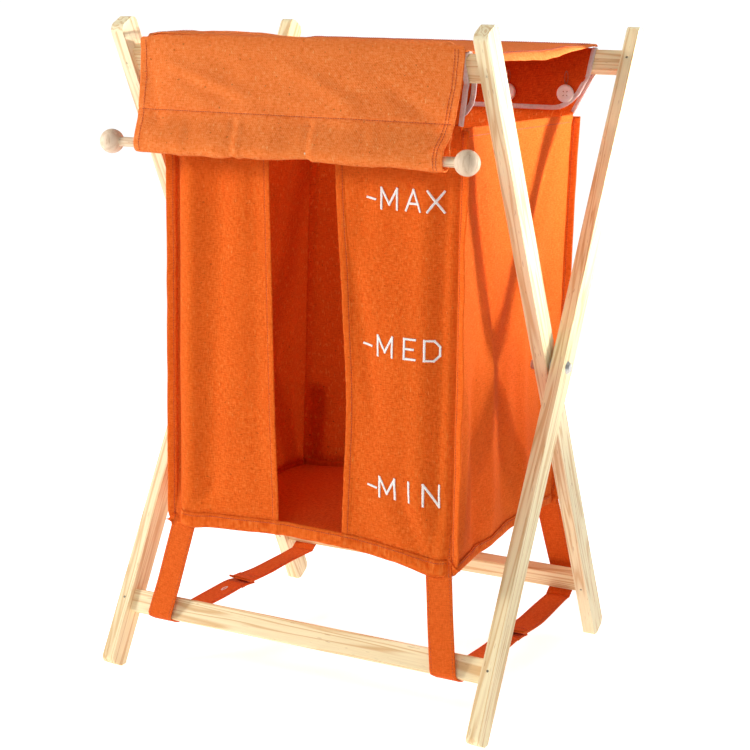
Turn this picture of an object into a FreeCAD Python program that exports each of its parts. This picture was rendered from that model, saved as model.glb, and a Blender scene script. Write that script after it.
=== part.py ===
"""Folding laundry hamper: two crossed wooden frames, a hung fabric bag and a draped lid.

Row frame: +Z up, front faces -Y, the feet stand on Z = 0. Millimetres throughout.
"""
import os

import FreeCAD
import Part
import Sketcher

DIMS = {
    # crossed frames
    "tilt": 28.6,
    "pivot_y": 7.2,
    "pivot_z": 354.5,
    "half_width": 226.5,
    "leg_thick": 14,
    "leg_depth": 28,
    "leg_up": 395,
    "leg_down": 400,
    "leg_gap": 3.5,
    "end_round": 8,
    "foot_round": 3,
    "bar_tall": 25,
    "bar_thick": 14,
    "bar_round": 2,
    "top_front_at": 353,
    "top_rear_at": 355,
    "bottom_front_at": 327,
    "bottom_rear_at": 322,
    "tenon_tall": 17,
    "tenon_thick": 7,
    "tenon_long": 9,
    "joint_play": 0.1,
    "nail_radius": 1.3,
    "nail_long": 20,
    # pivot hardware
    "bolt_radius": 3,
    "bolt_play": 0.05,
    "head_radius": 7,
    "head_high": 3.2,
    "washer_radius": 9,
    "washer_play": 0.2,
    "nut_radius": 5.6,
    "nut_high": 8,
    # bag
    "cloth": 2,
    "wrap_play": 0.3,
    "bag_half": 170,
    "loop_half": 182,
    "yoke_half": 176,
    "bag_low": 172,
    "hem_high": 18,
    "yoke_low": 607,
    "yoke_high": 646,
    "front_low_y": -158,
    "front_lean": 1.6,
    "rear_low_y": 150,
    "rear_lean": 2.2,
    "slot_half": 39,
    "flap_low": 616,
    "flap_y": 152,
    "binding_high": 4,
    "fin": 8,
    "button_radius": 10,
    "button_thick": 3,
    "button_hole": 1.1,
    "button_hole_at": 2.6,
    "button_z": 630,
    "button_outer": 152.8,
    "button_inner": 84,
    # straps
    "strap_wide": 30,
    "strap_thick": 1.5,
    "strap_mid": 172,
    "strap_front_lean": 9.4,
    "strap_rear_lean": 13,
    "strap_splay": 9.5,
    "strap_front_y": -174.6,
    "strap_rear_y": 174.4,
    "strap_low_z": 54,
    "strap_long": 206,
    "run_z": 51,
    "run_end": 171,
    "joint_y": 5,
    "joint_half": 20,
    # lid
    "lid_z": 684.2,
    "lid_rear_y": 172,
    "lid_front_y": -187,
    "drop_top": 682,
    "drop_low": 588,
    "drop_lean": 6.8,
    "drop_half": 175,
    "sleeve_half": 172,
    "sleeve_radius": 7.3,
    "sleeve_bore": 5.3,
    "dowel_y": -202,
    "dowel_z": 579,
    "dowel_x": -6,
    "dowel_radius": 5,
    "dowel_long": 392,
    "knob_radius": 12.5,
    "knob_at": 200.5,
    "knob_bore_deep": 8,
}

doc = FreeCAD.newDocument("hamper")
sheet = doc.addObject("Spreadsheet::Sheet", "Dims")
for row, (alias, value) in enumerate(DIMS.items(), start=1):
    sheet.set(f"A{row}", alias)
    sheet.set(f"B{row}", str(value))
    sheet.setAlias(f"B{row}", alias)
doc.recompute()


def named(expression):
    """Write every sheet alias in an expression as a reference to the sheet."""
    words, word = [], ""
    for letter in f"{expression} ":
        if letter.isalnum() or letter == "_":
            word += letter
            continue
        words.append(f"Dims.{word}" if word in DIMS else word)
        words.append(letter)
        word = ""
    return "".join(words).strip()


def place(obj, x, y, z, turn="0", axis="1; 0; 0"):
    """Bind a placement: the point, then a turn in degrees about the given axis."""
    base = f"vector({named(x)}; {named(y)}; {named(z)})"
    spin = f"rotation(vector({named(axis)}); {named(turn)})"
    obj.setExpression("Placement", f"placement({base}; {spin})")
    return obj


def bind(obj, **sizes):
    for prop, expression in sizes.items():
        obj.setExpression(prop, named(expression))
    return obj


def primitive(kind, label, **sizes):
    return bind(doc.addObject(f"Part::{kind}", label), **sizes)


def cloth_box(label, size, at, turn="0", axis="1; 0; 0"):
    """A thin flat panel: size and position as expressions, leaned about X or an axis."""
    panel = primitive("Box", label, Length=size[0], Width=size[1], Height=size[2])
    return place(panel, *at, turn, axis)


def boolean(kind, label, base, tool):
    joined = doc.addObject(f"Part::{kind}", label)
    joined.Base = base
    joined.Tool = tool
    return joined


def group(label, members):
    bundle = doc.addObject("Part::Compound", label)
    bundle.Links = members
    return bundle


def origin_plane(body, role):
    return next(f for f in body.Origin.OriginFeatures if f.Role == role)


def sketch_on(body, role):
    sketch = body.newObject("Sketcher::SketchObject", "Sketch")
    sketch.AttachmentSupport = (origin_plane(body, role), [""])
    sketch.MapMode = "FlatFace"
    return sketch


def set_distance(sketch, kind, geometry, point, expression):
    index = sketch.addConstraint(
        Sketcher.Constraint(kind, -1, 1, geometry, point, 1.0)
    )
    sketch.setExpression(f"Constraints[{index}]", named(expression))


def polygon(body, role, corners):
    """A closed outline whose every corner is held by two bound distances."""
    sketch = sketch_on(body, role)
    start = [tuple(value_of(c) for c in corner) for corner in corners]
    count = len(corners)
    for n in range(count):
        a = FreeCAD.Vector(*start[n], 0)
        b = FreeCAD.Vector(*start[(n + 1) % count], 0)
        sketch.addGeometry(Part.LineSegment(a, b), False)
    for n in range(count):
        sketch.addConstraint(Sketcher.Constraint("Coincident", n, 2, (n + 1) % count, 1))
    for n, (across, up) in enumerate(corners):
        set_distance(sketch, "DistanceX", n, 1, across)
        set_distance(sketch, "DistanceY", n, 1, up)
    return sketch


def value_of(expression):
    """The number that an expression gives with the sheet's present values."""
    return float(sheet.evalExpression(named(expression).replace("Dims.", "")))


def circle(body, role, centre, radius):
    sketch = sketch_on(body, role)
    at = FreeCAD.Vector(value_of(centre[0]), value_of(centre[1]), 0)
    sketch.addGeometry(Part.Circle(at, FreeCAD.Vector(0, 0, 1), value_of(radius)), False)
    size = sketch.addConstraint(Sketcher.Constraint("Radius", 0, 1.0))
    sketch.setExpression(f"Constraints[{size}]", named(radius))
    set_distance(sketch, "DistanceX", 0, 3, centre[0])
    set_distance(sketch, "DistanceY", 0, 3, centre[1])
    return sketch


def pad(body, sketch, length, **flags):
    feature = body.newObject("PartDesign::Pad", "Pad")
    feature.Profile = sketch
    for flag, value in flags.items():
        setattr(feature, flag, value)
    return bind(feature, Length=length)


def pocket(body, sketch, length, **flags):
    feature = body.newObject("PartDesign::Pocket", "Pocket")
    feature.Profile = sketch
    for flag, value in flags.items():
        setattr(feature, flag, value)
    return bind(feature, Length=length)


def fillet(body, base, radius, chosen):
    """Round the straight edges along X whose middle passes the chosen test."""
    doc.recompute()
    edges = []
    for n, edge in enumerate(base.Shape.Edges, start=1):
        if len(edge.Vertexes) != 2:
            continue
        run = edge.Vertexes[1].Point - edge.Vertexes[0].Point
        middle = (edge.Vertexes[1].Point + edge.Vertexes[0].Point) * 0.5
        if abs(run.x) > 0.99 * run.Length and chosen(middle):
            edges.append(f"Edge{n}")
    feature = body.newObject("PartDesign::Fillet", "Fillet")
    feature.Base = (base, edges)
    return bind(feature, Radius=radius)


def box_outline(across, up, middle="0"):
    half, tall = f"({across}) / 2", f"({up}) / 2"
    return [
        (f"-{half}", f"({middle}) - {tall}"),
        (half, f"({middle}) - {tall}"),
        (half, f"({middle}) + {tall}"),
        (f"-{half}", f"({middle}) + {tall}"),
    ]


def make_leg(label, side, slope, face, bars):
    """One leg. side: +1 right, -1 left. slope: -1 top leans back, +1 top leans forward."""
    body = doc.addObject("PartDesign::Body", label)
    # the foot's lowest corner is cut level with the floor
    heel = "(pivot_z - leg_down * cos(tilt * 1 deg)) / sin(tilt * 1 deg)"
    rise = f"(leg_depth / 2 - {heel}) * tan(tilt * 1 deg)"
    back = f"{-slope} * leg_depth / 2"
    front = f"{slope} * leg_depth / 2"
    outline = [
        (front, "-leg_down"),
        (f"{-slope} * {heel}", "-leg_down"),
        (back, f"-leg_down + {rise}"),
        (back, "leg_up"),
        (front, "leg_up"),
    ]
    blank = pad(body, polygon(body, "YZ_Plane", outline), "leg_thick", Reversed=side < 0)
    toe = slope * DIMS["leg_depth"] / 2

    def is_corner(p):
        return p.z > 0 or abs(p.y - toe) < 1

    rounded = fillet(body, blank, "end_round", is_corner)
    fillet(body, rounded, "foot_round", lambda p: p.z < 0 and abs(p.y - toe) > 18)
    bore = circle(body, "YZ_Plane", ("0", "0"), "bolt_radius + bolt_play")
    pocket(body, bore, "leg_thick + 1", Reversed=side > 0)
    for at in bars:
        outline = box_outline(
            "tenon_thick + 2 * joint_play", "tenon_tall + 2 * joint_play", at
        )
        mortise = polygon(body, "YZ_Plane", outline)
        pocket(body, mortise, "tenon_long + joint_play", Reversed=side > 0)
    place(body, f"{side} * ({face})", "pivot_y", "pivot_z", f"{slope} * tilt")
    return body


def make_bar(label, slope, face, at):
    """One cross bar with a tenon at each end, turned with its frame."""
    body = doc.addObject("PartDesign::Body", label)
    section = polygon(body, "YZ_Plane", box_outline("bar_thick", "bar_tall"))
    blank = pad(body, section, f"2 * ({face})", Midplane=True)
    fillet(body, blank, "bar_round", lambda p: True)
    tenon = polygon(body, "YZ_Plane", box_outline("tenon_thick", "tenon_tall"))
    pad(body, tenon, f"2 * ({face} + tenon_long)", Midplane=True)
    place(body, "0", *along(slope, at), f"{slope} * tilt")
    return body


def along(slope, at, off="0"):
    """The row-frame Y and Z of a point on a frame: distance up the leg, then offset."""
    y = f"pivot_y - {slope} * ({at}) * sin(tilt * 1 deg) + ({off}) * cos(tilt * 1 deg)"
    z = f"pivot_z + ({at}) * cos(tilt * 1 deg) + {slope} * ({off}) * sin(tilt * 1 deg)"
    return y, z


def make_nails(label, slope, face, bars):
    nails = []
    for side in (-1, 1):
        for n, at in enumerate(bars):
            nail = primitive(
                "Cylinder", f"{label}_{n}_{side + 1}", Radius="nail_radius", Height="nail_long"
            )
            x = f"{side} * ({face} + leg_thick / 2)"
            place(nail, x, *along(slope, at, "-leg_depth / 2"), f"{slope} * tilt - 90")
            nails.append(nail)
    return group(label, nails)


def make_wrap(label, slope, at):
    """Bag cloth folded over a top bar: a channel open at the bottom."""
    skin = primitive(
        "Box",
        f"{label}_outer",
        Length="2 * loop_half",
        Width="bar_thick + 2 * wrap_play + 2 * cloth",
        Height="bar_tall + wrap_play + cloth",
    )
    room = primitive(
        "Box",
        f"{label}_inner",
        Length="2 * loop_half + 2",
        Width="bar_thick + 2 * wrap_play",
        Height="bar_tall + wrap_play + 1",
    )
    start = f"{at} - bar_tall / 2"
    off = "-bar_thick / 2 - wrap_play"
    place(skin, "-loop_half", *along(slope, start, f"{off} - cloth"), f"{slope} * tilt")
    place(room, "-loop_half - 1", *along(slope, f"{start} - 1", off), f"{slope} * tilt")
    return boolean("Cut", label, skin, room)


def make_buttons(label, facing):
    """Five flat four-hole buttons on a flap; facing is +1 towards the back."""
    buttons = []
    places = ("-button_outer", "-button_inner", "0", "button_inner", "button_outer")
    for n, x in enumerate(places):
        body = doc.addObject("PartDesign::Body", f"{label}_{n}")
        disc = circle(body, "XZ_Plane", ("0", "0"), "button_radius")
        pad(body, disc, "button_thick", Reversed=facing < 0)
        for across in (-1, 1):
            for up in (-1, 1):
                at = (f"{across} * button_hole_at", f"{up} * button_hole_at")
                hole = circle(body, "XZ_Plane", at, "button_hole")
                pocket(body, hole, "button_thick", Type="ThroughAll", Midplane=True)
        y = f"pivot_y + {facing} * (flap_y - cloth - 0.2)"
        place(body, x, y, "button_z")
        buttons.append(body)
    return group(label, buttons)


outer_face = "half_width - leg_thick"
inner_face = "half_width - 2 * leg_thick - leg_gap"
frames = (
    ("outer", -1, outer_face, ("top_rear_at", "-bottom_front_at")),
    ("inner", 1, inner_face, ("top_front_at", "-bottom_rear_at")),
)
bar_names = {
    "outer": ("top_rear_bar", "bottom_front_bar"),
    "inner": ("top_front_bar", "bottom_rear_bar"),
}
nodes = []
for name, slope, face, bars in frames:
    nodes.append(make_leg(f"{name}_leg_left", -1, slope, face, bars))
    nodes.append(make_leg(f"{name}_leg_right", 1, slope, face, bars))
    for bar_name, at in zip(bar_names[name], bars):
        nodes.append(make_bar(bar_name, slope, face, at))
    nodes.append(make_nails(f"{name}_nails", slope, face, bars))

# pivot hardware on each side: a domed bolt, a spacer washer and a cap nut
for side, word in ((-1, "left"), (1, "right")):
    turn = f"{side} * 90"
    shank = primitive(
        "Cylinder",
        f"bolt_{word}_shank",
        Radius="bolt_radius",
        Height="2 * leg_thick + leg_gap + nut_high / 2",
    )
    place(shank, f"{side} * (inner_at)".replace("inner_at", f"{inner_face} - nut_high / 2"),
          "pivot_y", "pivot_z", turn, "0; 1; 0")
    head = primitive("Cone", f"bolt_{word}_head", Height="head_high")
    bind(head, Radius1="head_radius", Radius2="head_radius * 0.6")
    place(head, f"{side} * half_width", "pivot_y", "pivot_z", turn, "0; 1; 0")
    nodes.append(boolean("Fuse", f"pivot_bolt_{word}", head, shank))

    rim = primitive(
        "Cylinder", f"washer_{word}_disc", Radius="washer_radius", Height="leg_gap - washer_play"
    )
    eye = primitive(
        "Cylinder", f"washer_{word}_eye", Radius="bolt_radius + 0.3", Height="leg_gap"
    )
    washer_x = f"{side} * ({outer_face} - leg_gap + washer_play)"
    place(rim, washer_x, "pivot_y", "pivot_z", turn, "0; 1; 0")
    place(eye, f"{side} * ({outer_face} - leg_gap)", "pivot_y", "pivot_z", turn, "0; 1; 0")
    nodes.append(boolean("Cut", f"pivot_washer_{word}", rim, eye))

    shell = primitive("Cylinder", f"nut_{word}_shell", Radius="nut_radius", Height="nut_high")
    thread = primitive(
        "Cylinder", f"nut_{word}_thread", Radius="bolt_radius + 0.1", Height="nut_high / 2 + 1"
    )
    nut_x = f"{side} * ({inner_face} - washer_play)"
    place(shell, nut_x, "pivot_y", "pivot_z", f"-{turn}", "0; 1; 0")
    place(thread, f"{side} * ({inner_face} + 0.5)", "pivot_y", "pivot_z", f"-{turn}", "0; 1; 0")
    nodes.append(boolean("Cut", f"pivot_nut_{word}", shell, thread))

nodes.append(make_wrap("rear_bar_wrap", -1, "top_rear_at"))
nodes.append(make_wrap("front_bar_wrap", 1, "top_front_at"))


def on_front(height):
    """Base point of a front strip that starts this far above the bag's lower edge."""
    y = f"pivot_y + front_low_y - ({height}) * sin(front_lean * 1 deg)"
    z = f"bag_low + ({height}) * cos(front_lean * 1 deg)"
    return y, z


panel_high = "yoke_low - bag_low - hem_high"
half_wide = "bag_half - slot_half"
nodes.append(
    cloth_box(
        "bag_front_hem", ("2 * bag_half", "cloth", "hem_high"),
        ("-bag_half", *on_front("0")), "front_lean",
    )
)
for word, x in (("left", "-bag_half"), ("right", "slot_half")):
    nodes.append(
        cloth_box(
            f"bag_front_{word}", (half_wide, "cloth", panel_high),
            (x, *on_front("hem_high")), "front_lean",
        )
    )
nodes.append(
    cloth_box(
        "bag_front_yoke", ("2 * yoke_half", "cloth", "yoke_high - yoke_low"),
        ("-yoke_half", *on_front("yoke_low - bag_low")), "front_lean",
    )
)
nodes.append(
    cloth_box(
        "bag_rear_panel", ("2 * bag_half", "cloth", "yoke_high - bag_low"),
        ("-bag_half", "pivot_y + rear_low_y - cloth", "bag_low"), "-rear_lean",
    )
)
nodes.append(
    cloth_box(
        "bag_bottom",
        ("2 * bag_half - 2 * cloth - 0.4", "rear_low_y - front_low_y - 2 * cloth - 9", "cloth"),
        ("-bag_half + cloth + 0.2", "pivot_y + front_low_y + cloth + 4.5", "bag_low"),
    )
)

# side panels: four-cornered, wider at the top than at the bottom
deep = "rear_low_y - front_low_y - 2 * cloth - 0.6"
tall = "yoke_low - bag_low"
fore = f"({tall}) * tan(front_lean * 1 deg)"
aft = f"({tall}) * tan(rear_lean * 1 deg)"
for side, word in ((-1, "left"), (1, "right")):
    body = doc.addObject("PartDesign::Body", f"bag_side_{word}")
    outline = [
        ("0", "0"),
        (deep, "0"),
        (f"{deep} + {aft}", tall),
        (f"-{fore}", tall),
    ]
    pad(body, polygon(body, "YZ_Plane", outline), "cloth", Reversed=side > 0)
    y = "pivot_y + front_low_y + cloth + 0.3"
    nodes.append(place(body, f"{side} * bag_half", y, "bag_low"))

# outward seam fins down the four upright corners
seams = (
    ("front", "pivot_y + front_low_y + 0.1", "front_lean"),
    ("rear", "pivot_y + rear_low_y - cloth - 0.1", "-rear_lean"),
)
for word, y, lean in seams:
    fins = []
    for side in (-1, 1):
        x = "bag_half + 0.2" if side > 0 else "-bag_half - 0.2 - fin"
        size = ("fin", "cloth", "yoke_low - bag_low - 2")
        fins.append(cloth_box(f"fin_{word}_{side + 1}", size, (x, y, "bag_low"), lean))
    nodes.append(group(f"bag_{word}_seams", fins))

for word, facing in (("front", -1), ("rear", 1)):
    y = "pivot_y - flap_y" if facing < 0 else "pivot_y + flap_y - cloth"
    flap_size = ("2 * yoke_half", "cloth", "yoke_high - flap_low")
    nodes.append(cloth_box(f"{word}_flap", flap_size, ("-yoke_half", y, "flap_low")))
    edge_size = ("2 * yoke_half", "cloth", "binding_high")
    edge_at = ("-yoke_half", y, "flap_low - binding_high - 0.1")
    nodes.append(cloth_box(f"{word}_flap_binding", edge_size, edge_at))
    nodes.append(make_buttons(f"{word}_buttons", facing))

# straps: a drop up into the bag and a run under the bottom bar towards the middle
for word, facing in (("front", -1), ("rear", 1)):
    for side, hand in ((-1, "left"), (1, "right")):
        x = f"{side} * strap_mid - strap_wide / 2"
        edge = f"pivot_y + strap_{word}_y"
        drop_y = edge if facing < 0 else f"{edge} - strap_thick"
        drop_size = ("strap_wide", "strap_thick", "strap_long")
        drop_at = (x, drop_y, "strap_low_z")
        lean = f"strap_{word}_lean"
        leaned = f"sqrt({lean} ^ 2 + strap_splay ^ 2)"
        axis = f"{-facing} * {lean}; {side} * strap_splay; 0"
        nodes.append(
            cloth_box(f"strap_drop_{word}_{hand}", drop_size, drop_at, f"-{leaned}", axis)
        )
        reach = f"run_end - {facing} * joint_y - joint_half"
        run_y = "pivot_y - run_end" if facing < 0 else f"pivot_y + run_end - ({reach})"
        run_size = ("strap_wide", reach, "strap_thick")
        nodes.append(
            cloth_box(f"strap_run_{word}_{hand}", run_size, (x, run_y, "run_z"))
        )
for side, hand in ((-1, "left"), (1, "right")):
    nodes.append(
        cloth_box(
            f"strap_joint_{hand}",
            ("strap_wide", "2 * joint_half - 0.6", "2 * strap_thick"),
            (
                f"{side} * strap_mid - strap_wide / 2",
                "pivot_y + joint_y - joint_half + 0.3",
                "run_z - strap_thick / 2",
            ),
        )
    )

# lid: a sheet over the mouth, a drop in front, a sleeve round the dowel
nodes.append(
    cloth_box(
        "lid_sheet", ("2 * loop_half", "lid_rear_y - lid_front_y", "cloth"),
        ("-loop_half", "pivot_y + lid_front_y", "lid_z"),
    )
)
nodes.append(
    cloth_box(
        "lid_drop",
        ("2 * drop_half", "cloth", "drop_top - drop_low"),
        ("-drop_half", "pivot_y + dowel_y + 1", "drop_low"),
        "-drop_lean",
    )
)
sleeve = primitive(
    "Cylinder", "sleeve_outer", Radius="sleeve_radius", Height="2 * sleeve_half"
)
room = primitive(
    "Cylinder", "sleeve_inner", Radius="sleeve_bore", Height="2 * sleeve_half + 2"
)
dowel_line = ("pivot_y + dowel_y", "dowel_z", "90", "0; 1; 0")
place(sleeve, "-sleeve_half", *dowel_line)
place(room, "-sleeve_half - 1", *dowel_line)
nodes.append(boolean("Cut", "lid_sleeve", sleeve, room))
dowel = primitive("Cylinder", "lid_dowel", Radius="dowel_radius", Height="dowel_long")
nodes.append(place(dowel, "dowel_x - dowel_long / 2", *dowel_line))
for side, hand in ((-1, "left"), (1, "right")):
    ball = primitive("Sphere", f"ball_{hand}", Radius="knob_radius")
    place(ball, f"dowel_x + {side} * knob_at", "pivot_y + dowel_y", "dowel_z")
    bore = primitive("Cylinder", f"ball_bore_{hand}", Radius="dowel_radius", Height="20")
    far = "dowel_long / 2" if side > 0 else "-dowel_long / 2"
    shift = "- 20" if side > 0 else ""
    place(bore, f"dowel_x + {far} {shift}", *dowel_line)
    nodes.append(boolean("Cut", f"knob_{hand}", ball, bore))

doc.recompute()
for item in doc.Objects:
    for state in item.State:
        if state in ("Invalid", "Error"):
            raise RuntimeError(f"{item.Label} is {state}")
os.makedirs("parts", exist_ok=True)
for node in nodes:
    if node.Shape.isNull() or not node.Shape.isValid() or not node.Shape.Solids:
        raise RuntimeError(f"{node.Label} has no valid solid")
    node.Shape.exportStep(f"parts/{node.Label}.step")
print(f"{len(nodes)} nodes written")
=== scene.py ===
"""Folding laundry hamper: the looks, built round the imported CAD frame.

Row frame: +Z up, front faces -Y, the feet stand on Z = 0. Shapes are worked out in millimetres.
"""

import math
import random
from bisect import bisect_right

import bpy
from mathutils import Matrix, Vector, noise


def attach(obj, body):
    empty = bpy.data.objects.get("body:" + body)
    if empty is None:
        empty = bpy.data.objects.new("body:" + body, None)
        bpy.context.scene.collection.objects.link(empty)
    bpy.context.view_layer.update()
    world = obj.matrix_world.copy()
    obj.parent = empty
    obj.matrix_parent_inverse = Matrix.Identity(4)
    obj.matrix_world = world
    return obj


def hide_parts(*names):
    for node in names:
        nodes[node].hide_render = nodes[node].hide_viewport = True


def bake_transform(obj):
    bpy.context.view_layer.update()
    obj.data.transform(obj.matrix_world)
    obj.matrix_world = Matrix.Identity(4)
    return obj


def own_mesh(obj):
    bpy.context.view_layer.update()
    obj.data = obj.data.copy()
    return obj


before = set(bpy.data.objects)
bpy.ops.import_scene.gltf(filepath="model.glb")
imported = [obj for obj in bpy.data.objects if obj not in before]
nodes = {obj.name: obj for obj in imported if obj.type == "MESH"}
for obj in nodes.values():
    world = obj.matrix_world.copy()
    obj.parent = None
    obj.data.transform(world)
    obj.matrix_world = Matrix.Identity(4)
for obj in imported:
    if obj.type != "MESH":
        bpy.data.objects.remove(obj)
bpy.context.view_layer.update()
MM = 0.001
CLOTH = 1.1
TILT = math.radians(28.6)
UP = Vector((0, 0, 1))


# ---- camera, lights, floor


def add_camera():
    place, target = Vector((0.8507, -1.6593, 0.7093)), Vector((0.0003, 0.0072, 0.3210))
    roll = 0.022
    ahead = (target - place).normalized()
    right = ahead.cross(UP).normalized()
    up = right.cross(ahead)
    turned = math.cos(roll) * right + math.sin(roll) * up
    upward = -math.sin(roll) * right + math.cos(roll) * up
    data = bpy.data.cameras.new("camera")
    data.lens, data.sensor_width = 82.67, 36
    camera = bpy.data.objects.new("camera", data)
    bpy.context.collection.objects.link(camera)
    turn = Matrix((turned, upward, -ahead)).transposed().to_4x4()
    camera.matrix_world = Matrix.Translation(place) @ turn
    bpy.context.scene.camera = camera


def add_light(name, place, target, size, power, colour=(1, 1, 1), spread=180):
    data = bpy.data.lights.new(name, "AREA")
    data.shape, data.size, data.energy, data.color = "DISK", size, power, colour
    data.spread = math.radians(spread)
    light = bpy.data.objects.new(name, data)
    bpy.context.collection.objects.link(light)
    light.location = place
    light.rotation_euler = (Vector(target) - Vector(place)).to_track_quat("-Z", "Y").to_euler()


class Graph:
    """A small helper that builds one material's nodes round a Principled shader."""

    def __init__(self, name):
        self.material = bpy.data.materials.new(name)
        self.material.use_nodes = True
        self.tree = self.material.node_tree
        self.tree.nodes.clear()
        self.bsdf = self.node("BsdfPrincipled")
        self.out = self.node("OutputMaterial", Surface=self.bsdf.outputs[0])

    def node(self, kind, inputs=None, **values):
        made = self.tree.nodes.new(f"ShaderNode{kind}")
        for key, value in values.items():
            if key in made.inputs:
                self.put(made.inputs[key], value)
            else:
                setattr(made, key, value)
        for key, value in (inputs or {}).items():
            self.put(made.inputs[key], value)
        return made

    def put(self, socket, value):
        if isinstance(value, bpy.types.NodeSocket):
            self.tree.links.new(value, socket)
        else:
            socket.default_value = value

    def math(self, operation, a, b=0.0):
        return self.node("Math", {0: a, 1: b}, operation=operation).outputs[0]

    def ramp(self, fac, stops):
        made = self.node("ValToRGB", Fac=fac)
        cells = made.color_ramp.elements
        while len(cells) < len(stops):
            cells.new(0.5)
        for cell, (at, colour) in zip(cells, stops):
            cell.position = at
            cell.color = (*colour, 1) if len(colour) == 3 else colour
        return made.outputs[0]

    def mix(self, fac, a, b, blend="MIX"):
        made = self.node("Mix", data_type="RGBA", blend_type=blend)
        self.put(made.inputs[0], fac)
        self.put(made.inputs[6], a)
        self.put(made.inputs[7], b)
        return made.outputs[2]

    def noise(self, vector, scale, detail=2.0, rough=0.5, distortion=0.0):
        """Noise at one scale, or at a scale for each axis."""
        if isinstance(scale, tuple):
            vector, scale = self.node("Mapping", Vector=vector, Scale=scale).outputs[0], 1.0
        return self.node(
            "TexNoise", Vector=vector, Scale=scale, Detail=detail, Roughness=rough,
            Distortion=distortion,
        ).outputs[0]

    def shine(self, fac, dull, bright):
        """Roughness that follows a pattern."""
        return self.ramp(fac, [(0.3, (dull,) * 3), (0.7, (bright,) * 3)])

    def set(self, values):
        for key, value in values.items():
            self.bsdf.inputs[key].default_value = value

    def finish(self, colour, roughness, height, distance, strength=1.0):
        self.put(self.bsdf.inputs["Base Color"], colour)
        self.put(self.bsdf.inputs["Roughness"], roughness)
        bump = self.node("Bump", Height=height, Distance=distance, Strength=strength)
        self.put(self.bsdf.inputs["Normal"], bump.outputs[0])
        return self.material


def linear(red, green, blue):
    """A colour given as 0-255 display values, made linear."""

    def one(value):
        value /= 255
        return value / 12.92 if value <= 0.04045 else ((value + 0.055) / 1.055) ** 2.4

    return one(red), one(green), one(blue), 1


GLOW = (1.0, 0.42, 0.13, 1)


def canvas(name, base, deep, pale, through=GLOW, pitch=1.15, share=0.34, fleck=0.55, lint_level=0.69):
    """Plain-woven cotton canvas: yarns over and under, slubs, flecks, some light through it."""
    base, deep, pale = linear(*base), linear(*deep), linear(*pale)
    g = Graph(name)
    uv = g.node("TexCoord").outputs["UV"]
    part = g.node("SeparateXYZ", Vector=uv)
    wander = g.noise(uv, (90, 90, 1), 2)
    turns = math.pi / (pitch * MM)
    waves = []
    for axis in (0, 1):
        plain = g.math("MULTIPLY", part.outputs[axis], turns)
        waves.append(g.math("SINE", g.math("ADD", plain, g.math("MULTIPLY", wander, 5.0))))
    weave = g.math("MULTIPLY", waves[0], waves[1])
    weft = g.noise(uv, (190, 760, 1), 2, 0.55)
    warp = g.noise(uv, (820, 170, 1), 2, 0.55)
    slub = g.math("ADD", g.math("MULTIPLY", weft, 0.55), g.math("MULTIPLY", warp, 0.45))
    cloud = g.noise(uv, (22, 17, 1), 4, 0.55)
    colour = g.ramp(slub, [(0.36, deep), (0.5, base), (0.66, pale)])
    colour = g.mix(g.ramp(cloud, [(0.35, (0, 0, 0)), (0.7, (0.2, 0.2, 0.2))]), colour, deep)
    specks = g.noise(uv, (260, 310, 1), 1)
    dark = g.ramp(specks, [(0.245, (fleck,) * 3), (0.28, (0, 0, 0))])
    colour = g.mix(dark, colour, tuple(c * 0.42 for c in deep[:3]) + (1,))
    lint = g.noise(uv, (420, 150, 1), 1)
    light = g.ramp(lint, [(lint_level, (0, 0, 0)), (lint_level + 0.07, (fleck * 0.8,) * 3)])
    colour = g.mix(light, colour, tuple(min(1, c * 1.5 + 0.05) for c in pale[:3]) + (1,))
    height = g.math("ADD", g.math("MULTIPLY", weave, 0.5), g.math("MULTIPLY", slub, 1.6))
    rough = g.shine(slub, 0.95, 0.8)
    g.finish(colour, rough, height, 0.00035, 0.75)
    g.set({"Sheen Weight": 0.03, "Sheen Roughness": 0.5, "Specular IOR Level": 0.08})
    glow = g.node("BsdfTranslucent", Color=through)
    both = g.node("MixShader", {0: share, 1: g.bsdf.outputs[0], 2: glow.outputs[0]})
    g.put(g.out.inputs["Surface"], both.outputs[0])
    return g.material


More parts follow.
